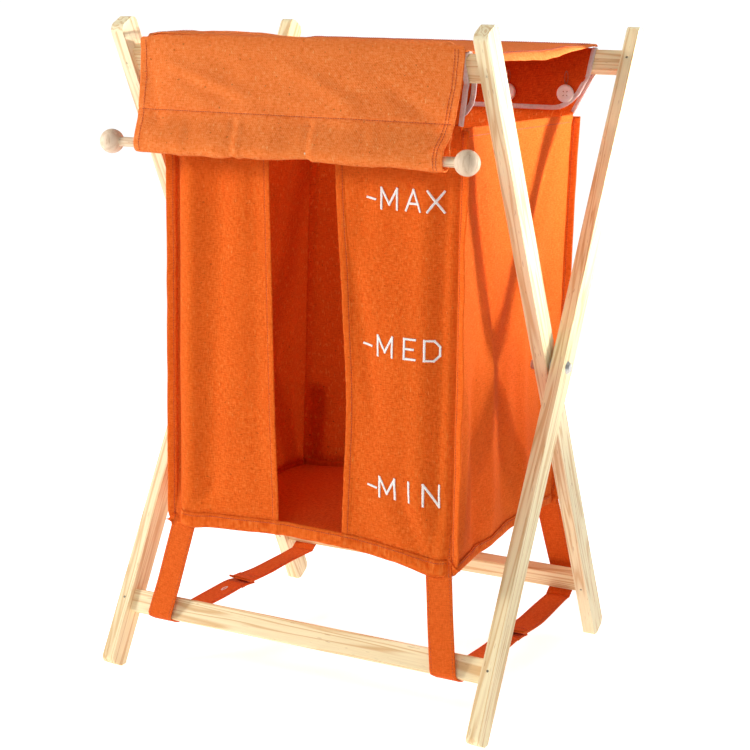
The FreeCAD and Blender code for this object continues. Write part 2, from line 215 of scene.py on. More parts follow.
def pine(name, along, across, seed, base=(251, 235, 190), late=(222, 181, 124)):
    """Planed pine, its grain along a direction: growth bands, fine pores, a few short resin dashes."""
    g = Graph(name)
    spot = g.node("TexCoord").outputs["Object"]
    third = along.cross(across)
    parts = [
        g.node("VectorMath", {0: spot, 1: way}, operation="DOT_PRODUCT").outputs["Value"]
        for way in (along, across, third)
    ]
    parts = [g.math("ADD", part, seed * 0.137 + n * 0.31) for n, part in enumerate(parts)]

    def stretched(scales):
        scaled = [g.math("MULTIPLY", part, scale) for part, scale in zip(parts, scales)]
        return g.node("CombineXYZ", {0: scaled[0], 1: scaled[1], 2: scaled[2]}).outputs[0]

    broad = g.noise(stretched((2.6, 62, 62)), 1.0, 2, 0.5, 0.4)
    rings = g.math("SINE", g.math("MULTIPLY", broad, 46.0))
    rings = g.math("ADD", g.math("MULTIPLY", rings, 0.5), 0.5)
    rings = g.math("POWER", rings, 2.6)
    cloud = g.noise(stretched((7, 26, 26)), 1.0, 3)
    fine = g.noise(stretched((24, 1300, 1300)), 1.0, 2)
    dash = g.noise(stretched((95, 900, 900)), 1.0, 0)
    colour = g.mix(g.math("MULTIPLY", rings, 0.78), linear(*base), linear(*late))
    tone = g.ramp(cloud, [(0.3, (0.86, 0.83, 0.78)), (0.62, (1, 1, 1))])
    colour = g.mix(0.8, colour, tone, "MULTIPLY")
    pores = g.ramp(fine, [(0.3, (0.9, 0.86, 0.8)), (0.55, (1, 1, 1))])
    colour = g.mix(0.7, colour, pores, "MULTIPLY")
    resin = g.ramp(dash, [(0.18, (0.5,) * 3), (0.22, (0, 0, 0))])
    colour = g.mix(resin, colour, linear(168, 112, 66))
    height = g.math("ADD", g.math("MULTIPLY", fine, 0.6), g.math("MULTIPLY", rings, -0.5))
    rough = g.shine(fine, 0.62, 0.48)
    g.finish(colour, rough, height, 0.0002, 0.6)
    g.set({"Specular IOR Level": 0.35})
    return g.material


def metal(name, tint, rough):
    g = Graph(name)
    spot = g.node("TexCoord").outputs["Object"]
    wear = g.noise(spot, 900, 3)
    colour = g.ramp(wear, [(0.35, tuple(c * 0.7 for c in tint)), (0.65, tint)])
    g.finish(colour, g.shine(wear, rough + 0.12, rough), wear, 0.00006)
    g.set({"Metallic": 1.0})
    return g.material


def plastic(name, tint):
    g = Graph(name)
    spot = g.node("TexCoord").outputs["Object"]
    swirl = g.noise(spot, 160, 3, 0.5, 1.2)
    colour = g.mix(swirl, tint, tuple(c * 0.9 for c in tint[:3]) + (1,))
    g.finish(colour, g.shine(swirl, 0.42, 0.3), swirl, 0.00008)
    g.set({"Subsurface Weight": 0.15, "Subsurface Scale": 0.002})
    return g.material


def thread(name, tint, dull):
    """Twisted sewing thread: slanting plies along each stitch."""
    g = Graph(name)
    spot = g.node("TexCoord").outputs["Object"]
    ply = g.noise(spot, (2600, 2600, 1500), 1)
    colour = g.mix(ply, linear(*dull), linear(*tint))
    g.finish(colour, g.shine(ply, 0.75, 0.5), ply, 0.0001)
    g.set({"Sheen Weight": 0.2})
    return g.material


def floor_material():
    g = Graph("floor_paper")
    spot = g.node("TexCoord").outputs["Object"]
    grain = g.noise(spot, 260, 3)
    colour = g.ramp(grain, [(0.3, (0.88, 0.88, 0.875)), (0.7, (0.92, 0.92, 0.915))])
    g.finish(colour, g.shine(grain, 0.9, 0.85), grain, 0.0002)
    g.set({"Emission Color": (1, 1, 1, 1), "Emission Strength": 0.76})
    return g.material


def add_stage():
    mesh = bpy.data.meshes.new("floor")
    wide = 1.6
    mesh.from_pydata([(-wide, -wide, 0), (wide, -wide, 0), (wide, wide, 0), (-wide, wide, 0)], [], [(0, 1, 2, 3)])
    floor = bpy.data.objects.new("floor", mesh)
    bpy.context.collection.objects.link(floor)
    floor.location.z = -0.0006
    mesh.materials.append(floor_material())
    world = bpy.data.worlds.new("studio")
    world.use_nodes = True
    tree = world.node_tree
    backdrop = tree.nodes["Background"]
    backdrop.inputs["Color"].default_value = (1, 1, 1, 1)
    path = tree.nodes.new("ShaderNodeLightPath")
    seen = tree.nodes.new("ShaderNodeMapRange")
    seen.inputs["To Min"].default_value, seen.inputs["To Max"].default_value = 0.26, 1.05
    tree.links.new(path.outputs["Is Camera Ray"], seen.inputs["Value"])
    tree.links.new(seen.outputs["Result"], backdrop.inputs["Strength"])
    bpy.context.scene.world = world
    bpy.context.scene.view_settings.view_transform = "Standard"
    add_light("key", (1.14, 0.72, 0.66), (0.17, 0.09, 0.665), 0.22, 2.3, (1, 0.985, 0.95), 42)
    add_light("right", (1.2, 1.1, 0.35), (0.1, 0, 0.3), 0.5, 3.5)
    add_light("left", (-1.45, -0.95, 0.95), (0, -0.15, 0.38), 0.45, 22)
    add_light("front", (0.3, -1.6, 1.3), (0, -0.15, 0.38), 0.7, 5.5)
    add_light("overhead", (0.3, 0.4, 1.9), (0, 0, 0.4), 0.9, 7)


# ---- materials

RIGHT = Vector((1, 0, 0))
ORANGE = dict(base=(242, 114, 32), deep=(216, 86, 16), pale=(255, 146, 64))
# The flap's colours are darker and redder than the bag's: painted shade for the lid's shadow over the doubled flap.
FLAP_PAINTED_SHADE_ORANGE = dict(base=(216, 80, 18), deep=(192, 62, 9), pale=(234, 104, 34))
STRAP_ORANGE = dict(base=(224, 97, 30), deep=(208, 84, 20), pale=(236, 114, 44))
MATERIALS = {
    "bag": canvas("bag_canvas_weave", **ORANGE),
    "rear": canvas("rear_canvas_weave", **ORANGE, share=0.28, fleck=0.95, lint_level=0.61),
    "flap": canvas("flap_canvas_painted_shade", **FLAP_PAINTED_SHADE_ORANGE, share=0.05, fleck=0.4),
    "bottom": canvas("bottom_canvas_weave", **ORANGE, share=0.14),
    "lid": canvas(
        "lid_canvas_weave", (252, 142, 66), (228, 110, 38), (255, 172, 104), pitch=1.3, share=0.3, fleck=0.7
    ),
    "strap": canvas("strap_canvas_weave", **STRAP_ORANGE, pitch=1.1, share=0.06, fleck=0.2),
    # The white tape's pink tint, in its colours and in the light through it, is painted bounce light from the orange
    # bag.
    "tape": canvas(
        "binding_tape_painted_bounce", (254, 244, 240), (236, 216, 210), (255, 252, 250), linear(240, 190, 180),
        pitch=0.7, share=0.3, fleck=0.15,
    ),
    "leg_outer": pine("pine_outer_legs", Vector((0, math.sin(TILT), math.cos(TILT))), RIGHT, 1),
    "leg_inner": pine(
        "pine_inner_legs", Vector((0, -math.sin(TILT), math.cos(TILT))), RIGHT, 2, (252, 238, 198), (224, 186, 132)
    ),
    "bar": pine("pine_bars", RIGHT, UP, 5, (251, 233, 188), (220, 176, 116)),
    "dowel": pine("beech_dowel", RIGHT, UP, 9, (238, 214, 182), (206, 170, 132)),
    "ball": pine("turned_ball_wood", Vector((0.3, 0.2, 0.93)), RIGHT, 4, (232, 208, 180), (216, 188, 158)),
    "nail": metal("nail_steel_worn", (0.23, 0.2, 0.17), 0.45),
    "bolt": metal("zinc_plated_steel", (0.7, 0.68, 0.64), 0.34),
    "button": plastic("button_resin", linear(252, 238, 232)),
    "seam": thread("seam_thread", (206, 84, 28), (158, 56, 16)),
    "white": thread("white_thread", (255, 254, 250), (222, 220, 214)),
    "brown": thread("buttonhole_thread", (196, 120, 80), (120, 58, 30)),
}


# ---- geometry helpers


def steps(low, high, step):
    count = max(1, round(abs(high - low) / step))
    return [low + (high - low) * n / count for n in range(count + 1)]


def joined(*runs):
    """Several runs of numbers as one rising list without repeats."""
    values = sorted(v for run in runs for v in run)
    return [v for n, v in enumerate(values) if n == 0 or v - values[n - 1] > 0.05]


def clamp(value, low=0.0, high=1.0):
    return max(low, min(high, value))


def ease(value):
    value = clamp(value)
    return value * value * (3 - 2 * value)


def table(at, pairs):
    """Straight interpolation in a short list of (position, value)."""
    if at <= pairs[0][0]:
        return pairs[0][1]
    for (a, x), (b, y) in zip(pairs, pairs[1:]):
        if at <= b:
            return x + (y - x) * (at - a) / (b - a)
    return pairs[-1][1]


def soft(at, pairs, spread=12):
    return sum(table(at + spread * k / 3, pairs) for k in (-3, -2, -1, 0, 1, 2, 3)) / 7


def wob(x, y, size, seed):
    """Slow random unevenness between about -1 and 1; each seed gives a pattern of its own."""
    return noise.noise(Vector((x / size, y / size, seed * 3.71)))


def hump(offset, width):
    """A smooth bump, 1 where offset is 0."""
    return math.exp(-((offset / width) ** 2))


def fold(x, y, a, b, height, width, fade=0.15):
    """A soft ridge (or valley, if height is below 0) along a line, dying out at its ends."""
    ax, ay, bx, by = *a, *b
    run = math.hypot(bx - ax, by - ay)
    along = ((x - ax) * (bx - ax) + (y - ay) * (by - ay)) / (run * run)
    if not -0.3 < along < 1.3:
        return 0.0
    aside = ((x - ax) * (by - ay) - (y - ay) * (bx - ax)) / run
    end = ease((along + fade) / (2 * fade)) * ease((1 + fade - along) / (2 * fade))
    return height * end * hump(aside, width)


def folds(x, y, lines):
    """Several folds together, each given as (start, end, height, width)."""
    return sum(fold(x, y, *line) for line in lines)


def rounded(points, radius, count=5):
    """A polyline with each inner corner turned into a short curve."""
    points = [Vector(p) for p in points]
    made = [points[0]]
    for a, b, c in zip(points, points[1:], points[2:]):
        start = b + (a - b).normalized() * min(radius, (a - b).length * 0.48)
        end = b + (c - b).normalized() * min(radius, (c - b).length * 0.48)
        for n in range(count + 1):
            t = n / count
            made.append(start.lerp(b, t).lerp(b.lerp(end, t), t))
    return made + [points[-1]]


class Line:
    """A polyline read by distance along it."""

    def __init__(self, points):
        self.points = [Vector(p) for p in points]
        self.marks = [0.0]
        for a, b in zip(self.points, self.points[1:]):
            self.marks.append(self.marks[-1] + (b - a).length)
        self.length = self.marks[-1]

    def at(self, distance):
        n = min(max(bisect_right(self.marks, distance) - 1, 0), len(self.points) - 2)
        run = self.marks[n + 1] - self.marks[n]
        share = (distance - self.marks[n]) / run if run else 0
        return self.points[n].lerp(self.points[n + 1], share)

    def along(self, distance, reach=1.2):
        return (self.at(min(distance + reach, self.length)) - self.at(max(distance - reach, 0))).normalized()


class Build:
    """Collects rings and grids into one mesh, in millimetres, with flat-pattern UVs in metres."""

    def __init__(self):
        self.verts, self.faces, self.uvs = [], [], []

    def grid(self, point, us, vs, hole=None):
        base, wide = len(self.verts), len(us)
        for v in vs:
            for u in us:
                self.verts.append(point(u, v))
                self.uvs.append((u * MM, v * MM))
        for j in range(len(vs) - 1):
            for i in range(wide - 1):
                if hole and hole((us[i] + us[i + 1]) / 2, (vs[j] + vs[j + 1]) / 2):
                    continue
                at = base + j * wide + i
                self.faces.append((at, at + 1, at + 1 + wide, at + wide))
        return self

    def loft(self, rings):
        """A closed tube through rings of equal count, with flat ends."""
        base, count = len(self.verts), len(rings[0])
        travelled = 0.0
        for n, ring in enumerate(rings):
            if n:
                travelled += (sum(ring, Vector()) / count - sum(rings[n - 1], Vector()) / count).length
            across = 0.0
            for k, point in enumerate(ring):
                if k:
                    across += (point - ring[k - 1]).length
                self.verts.append(point)
                self.uvs.append((across * MM, travelled * MM))
        for n in range(len(rings) - 1):
            for k in range(count):
                a, b = base + n * count + k, base + n * count + (k + 1) % count
                self.faces.append((a, b, b + count, a + count))
        last = base + (len(rings) - 1) * count
        self.faces.append(tuple(range(base + count - 1, base - 1, -1)))
        self.faces.append(tuple(range(last, last + count)))
        return self

    def stitch(self, a, b, out, thick):
        """One thread stitch from a to b, standing a little proud along out."""
        run = b - a
        side = run.cross(out).normalized()
        rings = []
        for share, size in ((0.0, 0.35), (0.2, 0.95), (0.8, 0.95), (1.0, 0.35)):
            middle = a + run * share + out * (thick * 0.28 * size)
            turns = [k * math.pi / 3 for k in range(6)]
            rings.append([
                middle + (side * math.cos(turn) * 0.5 + out * math.sin(turn) * 0.42) * thick * size
                for turn in turns
            ])
        return self.loft(rings)

    def make(self, name, material, thick=None, smooth=True):
        mesh = bpy.data.meshes.new(name)
        mesh.from_pydata([v * MM for v in self.verts], [], self.faces)
        layer = mesh.uv_layers.new(name="UVMap")
        order = [0] * len(mesh.loops)
        mesh.loops.foreach_get("vertex_index", order)
        layer.data.foreach_set("uv", [c for n in order for c in self.uvs[n]])
        loose = bpy.data.objects.new(name, mesh)
        bpy.context.collection.objects.link(loose)
        if thick:
            shell = loose.modifiers.new("thickness", "SOLIDIFY")
            shell.thickness, shell.offset = thick * MM, 0
            shell.use_even_offset = False
            view = bpy.context.evaluated_depsgraph_get()
            done = bpy.data.meshes.new_from_object(loose.evaluated_get(view))
            loose.modifiers.clear()
            loose.data = done
            bpy.data.meshes.remove(mesh)
            done.name = name
            mesh = done
        mesh.polygons.foreach_set("use_smooth", [smooth] * len(mesh.polygons))
        mesh.materials.clear()
        mesh.materials.append(MATERIALS[material])
        mesh.update()
        return loose


def oval(wide, thick, count, power):
    """Offsets of a flat rounded section: (across, out)."""
    made = []
    for k in range(count):
        a = 2 * math.pi * k / count
        c, s = math.cos(a), math.sin(a)
        made.append((
            math.copysign(abs(c) ** (2 / power), c) * wide / 2,
            math.copysign(abs(s) ** (2 / power), s) * thick / 2,
        ))
    return made


def tape(build, frames, wide, thick, count=14, power=5.0):
    """A flat band. frames: (middle, across, out) or (middle, across, out, width share)."""
    rings = []
    for entry in frames:
        middle, across, out = entry[:3]
        share = entry[3] if len(entry) > 3 else 1.0
        rings.append([middle + across * a + out * o for a, o in oval(wide * share, thick, count, power)])
    build.loft(rings)
    return build


def sew(build, spots, pitch=2.8, share=0.88, thick=0.62):
    """Running stitches along spots, a list of (point, outward)."""
    line = Line([p for p, _ in spots])
    outs = [o for _, o in spots]

    def out_at(distance):
        n = min(max(bisect_right(line.marks, distance) - 1, 0), len(outs) - 1)
        return outs[n]

    at = pitch * 0.3
    while at + pitch * share < line.length:
        build.stitch(line.at(at), line.at(at + pitch * share), out_at(at), thick)
        at += pitch
    return build


def settle(obj, body, replaces=(), squash=None):
    """Hand a finished piece to its body and hide the parts it replaces; with squash it only gets a mesh of its own.
    """
    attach(obj, body)
    if replaces:
        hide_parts(*replaces)
    if squash:
        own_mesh(obj)
    return obj


# ---- the bag's surfaces

PANEL_FOOT, YOKE_FOOT, PANEL_TOP = 172.0, 607.0, 646.0
FRONT_LEAN, REAR_LEAN = math.tan(math.radians(1.6)), math.tan(math.radians(2.2))
FRONT_FOOT_Y, REAR_FOOT_Y = -150.2, 156.6


def front_plane(z):
    return FRONT_FOOT_Y - (z - PANEL_FOOT) * FRONT_LEAN


def rear_plane(z):
    return REAR_FOOT_Y + (z - PANEL_FOOT) * REAR_LEAN


BAR_HALF_TALL, BAR_HALF_THICK = 12.5, 7.0


def bar_corners(y, z, lean, clear):
    """The four corners of a bar's section (front-low, front-high, rear-high, rear-low), offset by clear."""
    up = Vector((math.sin(lean), math.cos(lean)))
    ahead = Vector((-math.cos(lean), math.sin(lean)))
    half_tall, half_thick = BAR_HALF_TALL + clear, BAR_HALF_THICK + clear
    middle = Vector((y, z))
    return [
        middle - up * half_tall + ahead * half_thick,
        middle + up * half_tall + ahead * half_thick,
        middle + up * half_tall - ahead * half_thick,
        middle - up * half_tall - ahead * half_thick,
    ]


TOP_FRONT, TOP_REAR = (-161.8, 664.4), (177.1, 666.2)
LOW_FRONT, LOW_REAR = (-149.3, 67.4), (161.3, 71.8)


def bag_profile(plane, bar, lean, facing, flap_y, flap_end):
    """Up the panel's outside, over the bar and down inside as the flap: (y, z) points."""
    low_out, high_out, high_in, low_in = bar_corners(*bar, lean, 1.5)
    if facing > 0:
        low_out, high_out, high_in, low_in = low_in, high_in, high_out, low_out
    loop = [
        (plane(632), 632), (plane(646) + facing * 0.6, 646), low_out, high_out, high_in, low_in,
        (flap_y, PANEL_TOP - 2), (flap_y, flap_end),
    ]
    return Line([(plane(PANEL_FOOT), PANEL_FOOT)] + rounded(loop, 4.2))


FRONT = bag_profile(front_plane, TOP_FRONT, -TILT, -1, -143.8, 614.0)
REAR = bag_profile(rear_plane, TOP_REAR, TILT, 1, 158.2, 614.0)
PANEL_RUN = (YOKE_FOOT - PANEL_FOOT) / math.cos(math.radians(1.6))

FRONT_LOW = [(-172, 168), (-150, 165), (-126, 169), (-31, 175), (46, 174), (115, 166), (143, 158.5), (173, 162)]
REAR_LOW = [(-178, 164), (-150, 160), (-60, 170), (60, 171), (140, 160), (170, 164)]


# Half widths of the flat front or rear panel and of its slot.
PANEL_HALF, SLOT_HALF = 170, 39.0


def front_edges(z):
    """Left and right edges of the front at a height."""
    left = table(z, [(170, -160), (560, -154), (607, -158), (652, -178)])
    right = table(z, [(170, 170), (560, 172), (607, 172), (652, 179)])
    return left, right


def rear_edges(z):
    left = table(z, [(170, -171), (560, -175), (607, -174), (652, -180)])
    right = table(z, [(170, 158), (560, 156), (607, 157), (652, 179)])
    return left, right


def slot_edges(z):
    left = soft(z, [(180, -29), (320, -33), (560, -38), (607, -39)], 30)
    right = soft(z, [(180, 47), (250, 50), (330, 52), (450, 45), (566, 37), (607, 38)], 40)
    return left, right


def front_x(u, z, inside):
    """Flat-pattern x to hung x. inside is 1 on the panel and 0 on the loop and flap."""
    left, right = front_edges(z)
    low, high = slot_edges(min(z, YOKE_FOOT))
    if u < -SLOT_HALF:
        opened = left + (low - left) * (u + PANEL_HALF) / (PANEL_HALF - SLOT_HALF)
    elif u > SLOT_HALF:
        opened = right + (high - right) * (PANEL_HALF - u) / (PANEL_HALF - SLOT_HALF)
    else:
        opened = low + (high - low) * (u + SLOT_HALF) / (2 * SLOT_HALF)
    whole = left + (right - left) * (u + PANEL_HALF) / (2 * PANEL_HALF)
    return opened * inside + whole * (1 - inside)


FRONT_FOLDS = (
    ((-98, 600), (-110, 200), -4.0, 14), ((-130, 600), (-137, 185), 5.5, 11), ((-58, 600), (-54, 230), -2.2, 11),
    ((158, 590), (152, 230), -5.0, 9), ((137, 590), (132, 210), 2.6, 11), ((56, 480), (82, 320), -3.2, 9),
    ((66, 600), (70, 470), -2.0, 12), ((108, 430), (104, 190), 2.4, 20), ((140, 172), (112, 240), -3.2, 9),
    ((160, 240), (146, 168), -2.6, 7), ((-146, 176), (-108, 222), -2.8, 8),
)
REAR_FOLDS = (
    ((-120, 600), (-60, 330), -2.2, 18), ((110, 590), (70, 260), -2.0, 20), ((0, 420), (10, 190), 1.8, 26),
    ((-150, 178), (-90, 250), -2.0, 12), ((140, 178), (90, 240), -1.8, 12),
)
SIDE_FOLDS = (
    ((-118, 560), (-24, 372), -4.5, 15), ((120, 570), (-14, 372), -3.6, 15), ((-92, 360), (-76, 170), -5.5, 13),
    ((-52, 400), (-40, 180), 5.0, 13), ((-8, 360), (10, 180), -5.5, 15), ((46, 380), (60, 180), 4.5, 15),
    ((-120, 340), (-124, 180), 3.6, 11), ((104, 440), (112, 200), -4.0, 15),
)
LID_FOLDS = (((-150, -150), (-60, 60), 2.8, 11), ((160, -120), (60, 40), -3.0, 12))
DROP_FOLDS = (
    ((-150, 665), (-40, 625), 1.6, 7), ((-120, 640), (20, 612), -1.3, 8), ((-20, 672), (70, 628), 1.4, 8),
    ((60, 650), (150, 668), 1.3, 9), ((110, 640), (165, 615), -1.5, 9), ((-165, 655), (-150, 600), -1.2, 8),
    ((-100, 672), (-60, 655), -1.1, 7),
)


def front_fold(x, z):
    """How far the hung front stands out from its plane."""
    high = clamp((z - 165) / 440)
    out = 1.6 * wob(x, z * 0.3, 62, 1) + 1.1 * wob(x, z * 0.45, 27, 2) + 0.32 * wob(x, z, 9, 3)
    out += folds(x, z, FRONT_FOLDS)
    left, right = front_edges(z)
    out -= 9.0 * hump(x - left - 2.0, 5.6) + 6.0 * hump(right - x - 1.5, 4.5)
    return out * (0.35 + 0.65 * ease((620 - z) / 60)) + 0.6 * (1 - high)


def hem_step(distance, wide=8.2, proud=1.2):
    """The thickness that a turned hem adds, with a dip where it is sewn."""
    if distance < 0:
        return 0.0
    body = proud * ease((wide + 0.6 - distance) / 0.9)
    return body - 0.9 * hump(distance - wide + 1.2, 1.0)


def front_at(u, run, lift=0.0):
    run = flap_run(u, clamp(run, 0, FRONT.length), FRONT.length)
    y, z = FRONT.at(run)
    ty, tz = FRONT.along(run)
    on_panel = clamp(1 - (run - PANEL_RUN - 6) / 30)
    z_shift = (soft(u, FRONT_LOW) - PANEL_FOOT) * max(0.0, 1 - run / 120) ** 1.5
    x = front_x(u, z, on_panel if run > PANEL_RUN else 1.0)
    out = lift + front_fold(x, z + z_shift) * on_panel
    if run < PANEL_RUN:
        left, right = slot_edges(z)
        out += hem_step(left - x) if x <= left else hem_step(x - right) if x >= right else 0.0
        out -= 1.2 * hump(run - 14, 2.0)
    else:
        out += 0.5 * wob(x, run, 24, 5) + 0.25 * wob(x, run, 8, 6)
        out += flap_wave(x, run, FRONT.length)
    return Vector((x, y - tz * out, z + ty * out + z_shift))


FLAP_CORNER = 22.0


def flap_run(u, run, length):
    """Draws the run in near the flap's lower corners, so that they are round."""
    start = length - 60
    if run <= start:
        return run
    past = clamp((abs(u) - PANEL_HALF + FLAP_CORNER) / FLAP_CORNER)
    cut = FLAP_CORNER * (1 - math.sqrt(1 - past * past))
    return start + (run - start) * (60 - cut) / 60


def flap_wave(x, run, length):
    """The loose flap's slow wave, growing towards its lower edge."""
    loose = clamp((run - length + 34) / 34)
    return loose * (1.4 * wob(x, 0, 46, 7) + 0.7)


def rear_fold(x, z):
    out = 2.0 * wob(x, z * 0.3, 80, 11) + 0.8 * wob(x, z * 0.5, 30, 12) + 0.16 * wob(x, z, 9, 13)
    out += folds(x, z, REAR_FOLDS)
    left, right = rear_edges(z)
    out -= 5.0 * hump(x - left, 5.0) + 4.5 * hump(right - x, 5.0)
    return out * (0.35 + 0.65 * ease((620 - z) / 60))


def rear_at(u, run, lift=0.0):
    run = flap_run(u, clamp(run, 0, REAR.length), REAR.length)
    y, z = REAR.at(run)
    ty, tz = REAR.along(run)
    left, right = rear_edges(z)
    x = left + (right - left) * (u + PANEL_HALF) / (2 * PANEL_HALF)
    on_panel = clamp(1 - (run - PANEL_RUN - 6) / 30)
    z_shift = (soft(u, REAR_LOW) - PANEL_FOOT) * max(0.0, 1 - run / 120) ** 1.5
    out = lift + rear_fold(x, z + z_shift) * on_panel
    if run > PANEL_RUN:
        out += 0.5 * wob(x, run, 24, 15) + 0.25 * wob(x, run, 8, 16)
        out += flap_wave(x, run, REAR.length)
    return Vector((x, y + tz * out, z - ty * out + z_shift))


def side_low(share):
    return table(share, [(0, 160), (0.15, 162), (0.5, 165.5), (0.85, 166), (1, 163)])


def side_at(hand, share, z, lift=0.0):
    """A side panel. share runs 0 at the front corner to 1 at the rear one."""
    edge = 1 if hand > 0 else 0
    front_edge, rear_edge = front_edges(z)[edge], rear_edges(z)[edge]
    x = front_edge + (rear_edge - front_edge) * share
    near, far = front_plane(z) + 4.0, rear_plane(z) - 4.0
    y = near + (far - near) * share
    high = clamp((z - 165) / 440)
    belly = math.sin(math.pi * share)
    out = -5.5 * belly * (0.25 + 0.75 * math.sin(math.pi * high))
    s = hand * 20
    out += belly ** 0.5 * (2.4 * wob(y, z * 0.28, 58, 21 + s) + 1.0 * wob(y, z * 0.4, 26, 22 + s))
    out += 0.16 * wob(y, z, 9, 23 + s)
    out += folds(y, z, SIDE_FOLDS)
    near_corner = 5.0 * hump(y - near, 6.0) + 5.0 * hump(far - y, 6.0)
    out = out * ease(min(share, 1 - share) / 0.12) * (1 - 0.6 * ease((z - 575) / 40)) + near_corner * 0.1
    out += hem_step(YOKE_FOOT - z, 8.0, 0.8)
    return Vector((x + hand * (out + lift), y, z))


# ---- the bag


def make_front():
    near = [0.0, 1.2, 3.0, 5.0, 6.2, 7.0, 7.8, 8.4, 9.0, 10.2]
    us = joined(
        steps(-170, -SLOT_HALF - 12, 3.6), [-SLOT_HALF - d for d in near], steps(-33, 33, 5),
        [SLOT_HALF + d for d in near], steps(SLOT_HALF + 12, 170, 3.6), [-169, -167.5, 167.5, 169],
    )
    vs = joined(
        steps(0, 14, 2.4), steps(16, PANEL_RUN, 4.0), [PANEL_RUN], steps(PANEL_RUN + 3, FRONT.length, 2.2),
    )
    cloth = Build().grid(
        front_at, us, vs, lambda u, v: abs(u) < SLOT_HALF and 14 < v < PANEL_RUN
    ).make("front_cloth", "bag", CLOTH)
    paint_flap_shade(cloth, FRONT)
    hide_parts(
        "bag_front_left", "bag_front_right", "bag_front_yoke", "front_flap", "front_bar_wrap"
    )
    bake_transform(cloth)
    return cloth


def hem_piece(name, place, low, high, step=4.0):
    """Cloth turned up round a lower edge: outside, under and inside. place(u, height, lift)."""
    section = [(13.5, 1.75), (13.2, 2.05), (12.2, 1.55), (10.5, 2.1), (6.0, 2.3), (2.0, 2.2), (-0.4, 1.2),
               (-1.2, 0.0), (-0.4, -1.2), (2.0, -1.8), (8.0, -1.7)]

    def point(u, v):
        n = min(int(v), len(section) - 2)
        a, b = section[n], section[n + 1]
        height, lift = a[0] + (b[0] - a[0]) * (v - n), a[1] + (b[1] - a[1]) * (v - n)
        return place(u, height + 0.35 * wob(u, 0, 14, 31), lift + 0.25 * wob(u, height, 11, 32))

    vs = [k / 2 for k in range(2 * len(section) - 1)]
    return Build().grid(point, steps(low, high, step), vs).make(name, "bag", 0.9)


def make_front_details(front):
    hem = hem_piece("front_hem", lambda u, h, d: front_at(u, max(h, 0), d) + UP * min(h, 0), -168, 168, 3.4)
    settle(hem, "bag_front", ["bag_front_hem"])
    seams = Build()
    outward = Vector((0, -1, 0.03))
    for hand in (-1, 1):
        path = [(front_at(hand * (SLOT_HALF + 7.0), r, 0.62), outward) for r in steps(15, PANEL_RUN, 6)]
        sew(seams, path, thick=0.6)
    sew(seams, [(front_at(u, 11.3, 2.5), outward) for u in steps(-166, 166, 5)])
    sew(seams, [(front_at(u, PANEL_RUN + 26, 0.7), outward) for u in steps(-170, 170, 5)])
    sew(seams, [(front_at(u, PANEL_RUN + 4, 0.7), outward) for u in steps(-168, 168, 5)])
    settle(seams.make("front_stitches", "seam"), "bag_front")


def fin_path(hand, face):
    """Middle line of an outward seam at one upright corner: (point, across, out)."""
    frames = []
    for z in steps(163, YOKE_FOOT - 1, 5):
        left, right = front_edges(z) if face < 0 else rear_edges(z)
        x = right if hand > 0 else left
        y = front_plane(z) + 4.5 if face < 0 else rear_plane(z) - 4.0
        swing = 0.5 + 0.25 * wob(z, hand * 40, 60, 41 + face)
        across = Vector((hand * math.cos(swing), face * math.sin(swing), 0)).normalized()
        out = Vector((-across.y * hand, across.x * hand, 0)) * -face
        reach = 5.0 + 0.6 * wob(z, hand * 9, 30, 44)
        foot = ease((z - 163) / 16)
        middle = Vector((x, y, z)) + across * reach * (0.75 + 0.25 * foot) + out * 0.8 * wob(z, face * 5, 22, 46)
        frames.append((middle, across, out.normalized(), 0.5 + 0.5 * foot))
    return frames


def make_fins():
    for face, body, node in ((-1, "bag_front", "bag_front_seams"), (1, "bag_rear", "bag_rear_seams")):
        word = "front" if face < 0 else "rear"
        fins, threads = Build(), Build()
        for hand in (-1, 1):
            path = fin_path(hand, face)
            tape(fins, path, 10.4, 2.3, 14, 4.0)
            for side in (-1, 1):
                sew(threads, [(m - a * 2.2 + o * side * 1.15, o * side) for m, a, o, _ in path[2:]], thick=0.55)
        settle(fins.make(f"{word}_corner_seams", "bag"), body, [node])
        settle(threads.make(f"{word}_corner_stitches", "seam"), body)


def paint_flap_shade(cloth, profile):
    """Past the crest the cloth hangs inside, in front of the bar, so little light comes through it; these faces take
    the flap material, whose darker colour is painted shade for the lid's shadow.
    """
    crest = max(steps(0, profile.length, 1.0), key=lambda run: profile.at(run)[1])
    runs = cloth.data.uv_layers[0].data
    cloth.data.materials.append(MATERIALS["flap"])
    for face in cloth.data.polygons:
        if sum(runs[n].uv.y for n in face.loop_indices) / len(face.loop_indices) > crest * MM:
            face.material_index = 1


def make_rear():
    us = joined(steps(-170, 170, 4.0), [-168.6, 168.6])
    vs = joined(steps(0, 14, 2.8), steps(16, PANEL_RUN, 4.4), steps(PANEL_RUN + 3, REAR.length, 2.4))
    cloth = Build().grid(rear_at, us, vs).make("rear_cloth", "rear", CLOTH)
    paint_flap_shade(cloth, REAR)
    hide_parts("bag_rear_panel", "rear_flap", "rear_bar_wrap")
    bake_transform(cloth)
    hem = hem_piece("rear_hem", lambda u, h, d: rear_at(u, max(h, 0), d) + UP * min(h, 0), -168, 168, 4.2)
    settle(hem, "bag_rear")
    seams = Build()
    outward = Vector((0, 1, -0.03))
    sew(seams, [(rear_at(u, 11.3, 2.5), outward) for u in steps(-166, 166, 5)])
    for extra in (26, 4):
        sew(seams, [(rear_at(u, PANEL_RUN + extra, 0.7), outward) for u in steps(-168, 168, 5)])
    settle(seams.make("rear_stitches", "seam"), "bag_rear")
    return cloth, hem


SIDE_SQUASH = (172.0, 0.13)
SIDE_WIDE, SIDE_TALL = 308.0, 440


